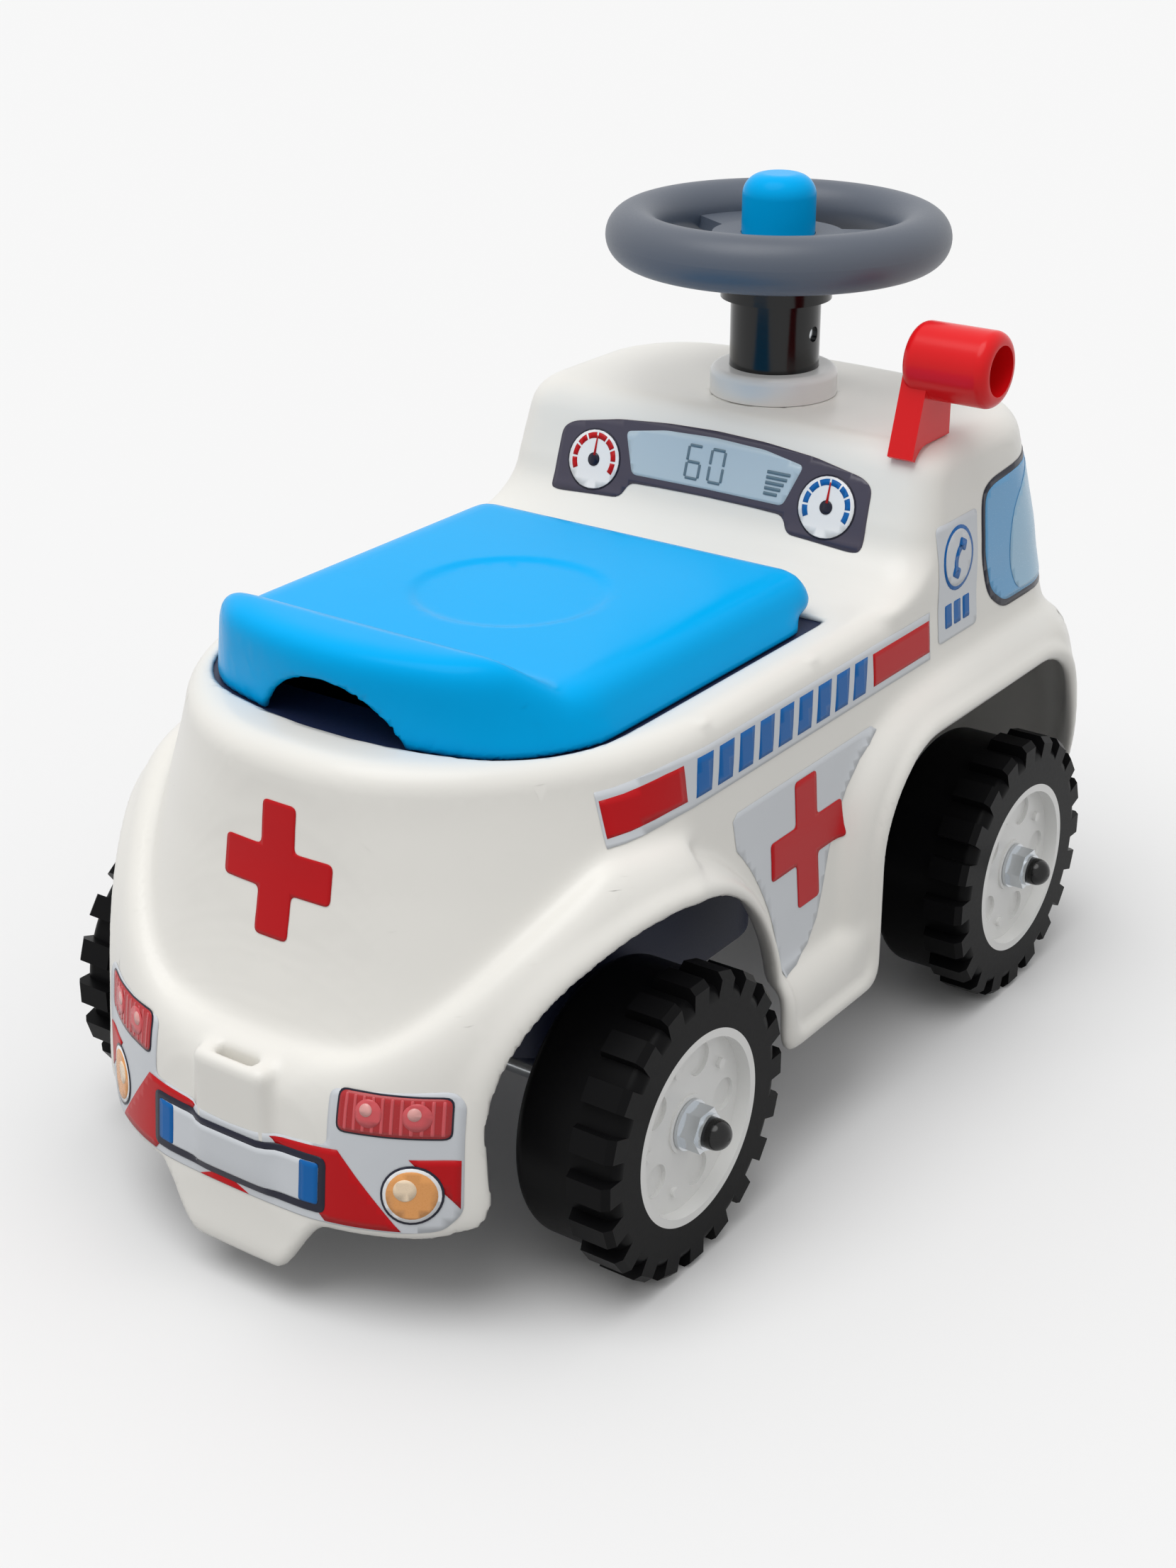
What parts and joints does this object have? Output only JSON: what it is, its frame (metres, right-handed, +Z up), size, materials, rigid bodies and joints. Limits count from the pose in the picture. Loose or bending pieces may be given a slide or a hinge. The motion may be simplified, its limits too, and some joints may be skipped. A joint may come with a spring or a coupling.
{
  "type": "ride-on toy vehicle",
  "caption": "Toddler's foot-to-floor ride-on in ambulance livery: moulded body, hinged seat over a storage bin, steered front axle, push horn and dummy siren.",
  "frame": {"origin": "on the floor under the middle of the vehicle's box", "axes": "+X forward, +Y to the rider's left, +Z up"},
  "size_m": [0.5751, 0.3478, 0.426],
  "materials": {
    "white_shell": "off-white moulded polypropylene, satin gloss",
    "white_trim": "white moulded plastic, glossy",
    "navy_frame": "navy moulded plastic, matt",
    "blue_plastic": "bright blue moulded plastic, glossy",
    "slate_plastic": "dark slate-grey moulded plastic, fine grain",
    "black_plastic": "black moulded plastic, glossy",
    "tyre_plastic": "black blow-moulded plastic, satin with a shiny sidewall ring",
    "red_plastic": "red moulded plastic, glossy",
    "bulb_rubber": "soft black rubber",
    "zinc": "zinc-plated steel"
  },
  "bodies": {
    "body": {"body_shell": "white_shell", "underframe": "navy_frame", "underframe_screws": "zinc", "seat_hinge_pins": "zinc", "column_collar": "white_trim", "rear_axle": "zinc", "rear_axle_spacers": "black_plastic", "rear_axle_washers": "zinc", "rear_axle_nuts": "zinc", "rear_axle_caps": "black_plastic", "siren_horn": "red_plastic", "siren_screw": "zinc"},
    "seat": {"seat_lid": "blue_plastic"},
    "steering": {"steering_wheel": "slate_plastic", "steering_column": "black_plastic", "column_screws": "zinc", "steering_shaft": "zinc", "shaft_clip": "zinc", "axle_carrier": "black_plastic", "carrier_bolt": "zinc", "front_axle": "zinc", "front_axle_spacers": "black_plastic", "front_axle_washers": "zinc", "front_axle_nuts": "zinc", "front_axle_caps": "black_plastic", "squeaker": "bulb_rubber"},
    "horn": {"horn_button": "blue_plastic"},
    "wheel_rear_right": {"tyre_rear_right": "tyre_plastic", "hub_rear_right": "white_trim"},
    "wheel_rear_left": {"tyre_rear_left": "tyre_plastic", "hub_rear_left": "white_trim"},
    "wheel_front_right": {"tyre_front_right": "tyre_plastic", "hub_front_right": "white_trim"},
    "wheel_front_left": {"tyre_front_left": "tyre_plastic", "hub_front_left": "white_trim"}
  },
  "joints": [
    {"name": "seat_hinge", "type": "hinge", "parent": "body", "child": "seat", "pos_m": [0.024, 0, 0.256], "axis": [0, 1, 0], "range_deg": [0, 70]},
    {"name": "steering", "type": "hinge", "parent": "body", "child": "steering", "pos_m": [0.152, 0, 0.2], "axis": [0, 0, 1], "range_deg": [-8, 8]},
    {"name": "horn_press", "type": "slide", "parent": "steering", "child": "horn", "axis": [0, 0, -1], "range_m": [0, 0.005], "stiffness_N_per_m": 400, "springref_m": -0.001, "deforming": ["squeaker"]},
    {"name": "rear_right_spin", "type": "hinge", "parent": "body", "child": "wheel_rear_right", "pos_m": [-0.154, -0.13, 0.072], "axis": [0, 1, 0], "continuous": true},
    {"name": "rear_left_spin", "type": "hinge", "parent": "body", "child": "wheel_rear_left", "pos_m": [-0.154, 0.13, 0.072], "axis": [0, 1, 0], "continuous": true},
    {"name": "front_right_spin", "type": "hinge", "parent": "steering", "child": "wheel_front_right", "pos_m": [0.164, -0.13, 0.072], "axis": [0, 1, 0], "continuous": true},
    {"name": "front_left_spin", "type": "hinge", "parent": "steering", "child": "wheel_front_left", "pos_m": [0.164, 0.13, 0.072], "axis": [0, 1, 0], "continuous": true}
  ]
}
